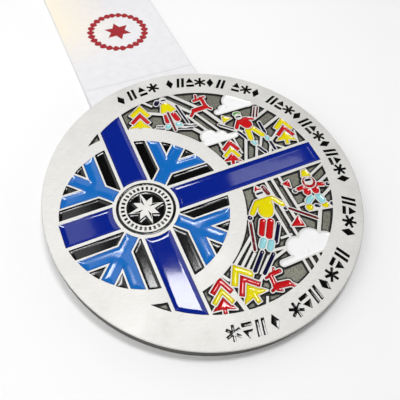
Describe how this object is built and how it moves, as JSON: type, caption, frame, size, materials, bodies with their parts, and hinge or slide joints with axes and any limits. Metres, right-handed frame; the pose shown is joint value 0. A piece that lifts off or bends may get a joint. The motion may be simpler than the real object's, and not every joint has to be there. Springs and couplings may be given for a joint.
{
  "type": "sports finisher medal",
  "caption": "Round award medal with a recessed enamel picture, a blue cross over a snowflake and compass, and a neck ribbon hinged on a bar behind.",
  "frame": {"origin": "centre of the disc's flat back face", "axes": "+Z out of the decorated front, +Y from the disc's centre towards the ribbon, +X along the long arm of the cross"},
  "size_m": [0.09, 0.2103, 0.0148],
  "materials": {
    "satin_nickel": "satin nickel plate",
    "dark_blue_enamel": "glossy soft enamel",
    "light_blue_enamel": "glossy soft enamel",
    "yellow_enamel": "glossy soft enamel",
    "red_enamel": "glossy soft enamel",
    "maroon_enamel": "glossy soft enamel",
    "navy_enamel": "glossy soft enamel",
    "paleblue_enamel": "glossy soft enamel",
    "green_enamel": "glossy soft enamel",
    "white_enamel": "glossy soft enamel",
    "black_paint": "matt antique paint",
    "grey_wash": "rubbed antique wash",
    "bright_steel": "drawn steel rod",
    "solder": "dull solder",
    "white_ribbon": "woven polyester",
    "elastic": "knitted elastic",
    "thread": "sewing thread"
  },
  "bodies": {
    "medal": {"compass_black_paint": "black_paint", "cross_enamel_bottom": "dark_blue_enamel", "cross_enamel_left": "dark_blue_enamel", "cross_enamel_right": "dark_blue_enamel", "cross_enamel_top": "dark_blue_enamel", "emblem_black_paint": "black_paint", "flake_enamel_lower_left": "light_blue_enamel", "flake_enamel_lower_right": "light_blue_enamel", "flake_enamel_upper_left": "light_blue_enamel", "flake_enamel_upper_right": "light_blue_enamel", "green_enamel": "green_enamel", "hanger_lug_left": "satin_nickel", "hanger_lug_right": "satin_nickel", "hanger_solder": "solder", "map_grey_wash": "grey_wash", "maroon_enamel": "maroon_enamel", "medal_blank": "satin_nickel", "navy_enamel": "navy_enamel", "paleblue_enamel": "paleblue_enamel", "red_enamel": "red_enamel", "ribbon_bar": "bright_steel", "rim_mark_paint": "black_paint", "white_enamel": "white_enamel", "yellow_enamel": "yellow_enamel"},
    "ribbon": {"ribbon_back_leg": "white_ribbon", "ribbon_eye": "white_ribbon", "ribbon_front_leg": "white_ribbon", "ribbon_hank": "white_ribbon", "ribbon_tie": "elastic", "seam_stitching": "thread"}
  },
  "joints": [
    {"name": "ribbon_swing", "type": "hinge", "parent": "medal", "child": "ribbon", "pos_m": [0, 0.027, -0.0021], "axis": [-1, 0, 0], "range_deg": [0, 165]}
  ]
}
